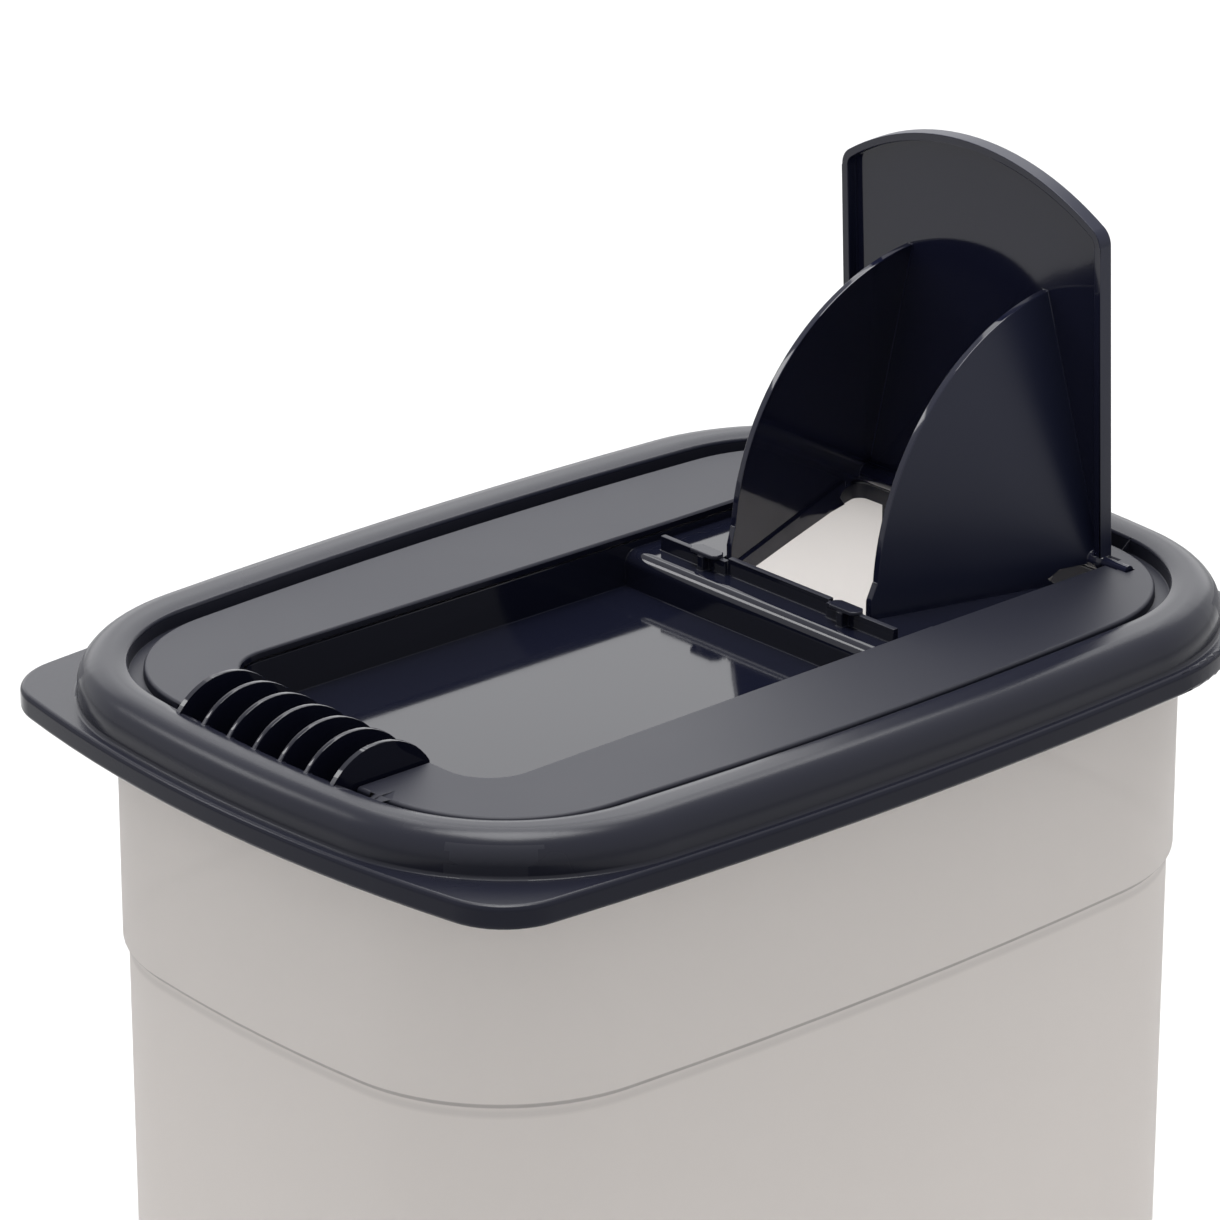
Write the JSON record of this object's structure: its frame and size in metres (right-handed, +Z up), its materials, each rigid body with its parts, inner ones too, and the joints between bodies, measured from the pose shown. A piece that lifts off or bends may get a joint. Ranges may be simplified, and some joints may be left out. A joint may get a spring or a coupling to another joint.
{
  "type": "pet food dispenser",
  "caption": "Tall translucent food container with a dark ribbed-grip lid and a hinged pour flap that stands up as a chute and folds down to close the opening.",
  "frame": {"origin": "centre of the footprint on the table, under the middle of the lid", "axes": "+Z up; +X along the long side toward the hinge of the pour flap; the finger well is at -X; the object is symmetric across the XZ plane"},
  "size_m": [0.2668, 0.1888, 0.3832],
  "materials": {
    "container_plastic": "satin translucent",
    "lid_plastic": "satin",
    "flap_plastic": "gloss"
  },
  "bodies": {
    "container": {"container": "container_plastic"},
    "lid": {"lid": "lid_plastic"},
    "flap": {"pour_flap": "flap_plastic"}
  },
  "joints": [
    {"name": "lid_lift", "type": "slide", "parent": "container", "child": "lid", "axis": [0, 0, 1], "range_m": [0, 0.08]},
    {"name": "flap_hinge", "type": "hinge", "parent": "lid", "child": "flap", "pos_m": [0.1042, 0, 0.2875], "axis": [0, 1, 0], "range_deg": [-87.6, 0]}
  ]
}
